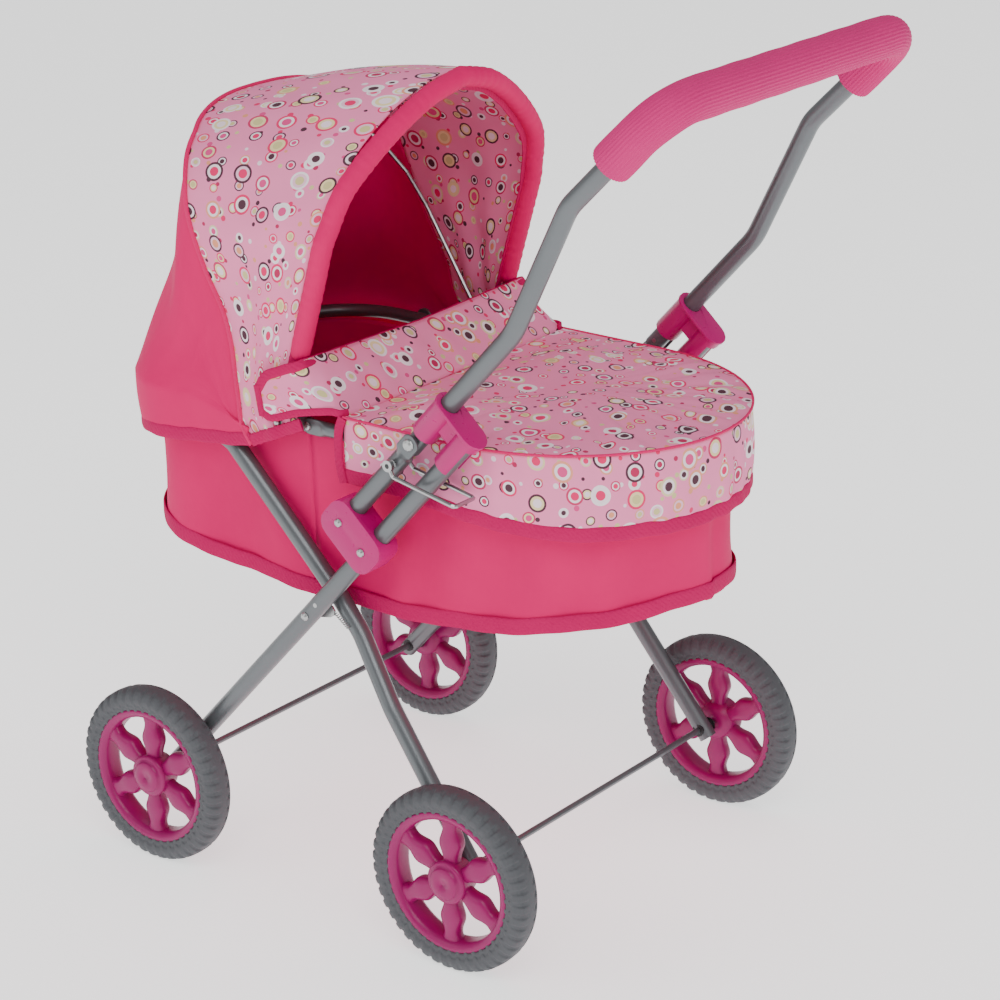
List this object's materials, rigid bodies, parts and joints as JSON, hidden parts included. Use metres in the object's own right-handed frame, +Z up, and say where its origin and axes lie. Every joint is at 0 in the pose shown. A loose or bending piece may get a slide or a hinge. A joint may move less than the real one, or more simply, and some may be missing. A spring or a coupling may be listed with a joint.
{
  "type": "doll stroller",
  "caption": "Doll's pram with a folding X frame, a cloth tub with foot cover, a fan hood on wire bows, a U handle with foam grip and small spoked wheels",
  "frame": {"origin": "On the floor, under the middle of the whole pram seen from above", "axes": "+X is the left of the person pushing, -Y is the front (hood end), +Y is the handle end, +Z is up"},
  "size_m": [0.332, 0.4907, 0.5991],
  "materials": {
    "paint": "satin grey enamel",
    "magenta_plastic": "moulded, semi-gloss",
    "tyre": "matt grey foamed rubber",
    "dark_plastic": "matt",
    "foam": "soft ribbed foam",
    "printed_cloth": "woven, printed with plain rings and dots",
    "pink_cloth": "plain woven",
    "zinc_steel": "zinc plated"
  },
  "bodies": {
    "frame": {"front_axle": "zinc_steel", "front_leg_left": "paint", "link_tube_left": "paint", "bracket_left": "magenta_plastic", "bracket_rivet_leg_left": "zinc_steel", "bracket_rivet_link_left": "zinc_steel", "spring_lug_left": "zinc_steel", "lug_rivet_left": "zinc_steel", "spring_left": "zinc_steel", "cross_pivot_left": "zinc_steel", "hoop_pivot_left": "zinc_steel", "handle_pivot_left": "zinc_steel", "front_bush_left": "dark_plastic", "front_leg_right": "paint", "link_tube_right": "paint", "bracket_right": "magenta_plastic", "bracket_rivet_leg_right": "zinc_steel", "bracket_rivet_link_right": "zinc_steel", "spring_lug_right": "zinc_steel", "lug_rivet_right": "zinc_steel", "spring_right": "zinc_steel", "cross_pivot_right": "zinc_steel", "hoop_pivot_right": "zinc_steel", "handle_pivot_right": "zinc_steel", "front_bush_right": "dark_plastic"},
    "rear_legs": {"rear_axle": "zinc_steel", "rear_leg_left": "paint", "rear_bush_left": "dark_plastic", "leg_top_pin_left": "zinc_steel", "rear_leg_right": "paint", "rear_bush_right": "dark_plastic", "leg_top_pin_right": "zinc_steel"},
    "rear_hoop": {"rear_hoop": "paint", "side_rivet_left": "zinc_steel", "side_rivet_right": "zinc_steel", "apron": "printed_cloth", "wind_flap": "printed_cloth", "basket": "pink_cloth"},
    "front_hoop": {"front_hoop": "paint", "hood_pivot_left": "zinc_steel", "hood_pivot_right": "zinc_steel", "hood_rear_panel": "pink_cloth"},
    "hood_rear": {"rear_bow": "zinc_steel", "hood_canopy": "printed_cloth"},
    "hood_front": {"front_bow": "zinc_steel", "hood_roll": "pink_cloth"},
    "handle": {"handle_tube": "paint", "handle_grip": "foam"},
    "lock_left": {"lock_left": "magenta_plastic"},
    "catch_left": {"catch_left": "zinc_steel"},
    "wheel_front_left": {"front_tyre_left": "tyre", "front_wheel_left": "magenta_plastic"},
    "wheel_rear_left": {"rear_tyre_left": "tyre", "rear_wheel_left": "magenta_plastic"},
    "lock_right": {"lock_right": "magenta_plastic"},
    "catch_right": {"catch_right": "zinc_steel"},
    "wheel_front_right": {"front_tyre_right": "tyre", "front_wheel_right": "magenta_plastic"},
    "wheel_rear_right": {"rear_tyre_right": "tyre", "rear_wheel_right": "magenta_plastic"}
  },
  "joints": [
    {"name": "x_fold", "type": "hinge", "parent": "frame", "child": "rear_legs", "pos_m": [0, -0.03965, 0.21931], "axis": [-1, 0, 0], "range_deg": [0, 42], "deforming": ["basket", "apron", "wind_flap", "spring_left", "spring_right"]},
    {"name": "rear_hoop_fold", "type": "hinge", "parent": "frame", "child": "rear_hoop", "pos_m": [0, 0.03085, 0.333], "axis": [-1, 0, 0], "range_deg": [0, 95]},
    {"name": "front_hoop_fold", "type": "hinge", "parent": "rear_hoop", "child": "front_hoop", "pos_m": [0, -0.06108, 0.333], "axis": [1, 0, 0], "range_deg": [0, 120]},
    {"name": "hood_fold", "type": "hinge", "parent": "front_hoop", "child": "hood_rear", "pos_m": [0, -0.08258, 0.333], "axis": [1, 0, 0], "range_deg": [0, 38], "deforming": ["hood_canopy", "hood_rear_panel"]},
    {"name": "hood_front_fold", "type": "hinge", "parent": "hood_rear", "child": "hood_front", "pos_m": [0, -0.08258, 0.333], "axis": [1, 0, 0], "range_deg": [0, 34.5]},
    {"name": "handle_fold", "type": "hinge", "parent": "frame", "child": "handle", "pos_m": [0, 0.04535, 0.34889], "axis": [1, 0, 0], "range_deg": [0, 80]},
    {"name": "lock_left_slide", "type": "slide", "parent": "handle", "child": "lock_left", "axis": [0, 0.6743, 0.7385], "range_m": [0, 0.036]},
    {"name": "catch_left_swing", "type": "hinge", "parent": "frame", "child": "catch_left", "pos_m": [0.1345, 0.03085, 0.333], "axis": [-1, 0, 0], "range_deg": [0, 55]},
    {"name": "lock_right_slide", "type": "slide", "parent": "handle", "child": "lock_right", "axis": [0, 0.6743, 0.7385], "range_m": [0, 0.036]},
    {"name": "catch_right_swing", "type": "hinge", "parent": "frame", "child": "catch_right", "pos_m": [-0.1345, 0.03085, 0.333], "axis": [-1, 0, 0], "range_deg": [0, 55]},
    {"name": "wheel_front_left_spin", "type": "hinge", "parent": "frame", "child": "wheel_front_left", "pos_m": [0.1508, -0.18193, 0.0635], "axis": [1, 0, 0], "continuous": true},
    {"name": "wheel_front_right_spin", "type": "hinge", "parent": "frame", "child": "wheel_front_right", "pos_m": [-0.1508, -0.18193, 0.0635], "axis": [1, 0, 0], "continuous": true},
    {"name": "wheel_rear_left_spin", "type": "hinge", "parent": "rear_legs", "child": "wheel_rear_left", "pos_m": [0.154, 0.08477, 0.0635], "axis": [1, 0, 0], "continuous": true},
    {"name": "wheel_rear_right_spin", "type": "hinge", "parent": "rear_legs", "child": "wheel_rear_right", "pos_m": [-0.154, 0.08477, 0.0635], "axis": [1, 0, 0], "continuous": true}
  ],
  "couplings": [
    {"joint": "rear_hoop_fold", "follows": "x_fold", "ratio": 2.245},
    {"joint": "front_hoop_fold", "follows": "x_fold", "ratio": 2.848},
    {"joint": "hood_front_fold", "follows": "hood_fold", "ratio": 0.9},
    {"joint": "lock_left_slide", "follows": "handle_fold", "m_per_rad": 0.02507},
    {"joint": "lock_right_slide", "follows": "handle_fold", "m_per_rad": 0.02507}
  ]
}
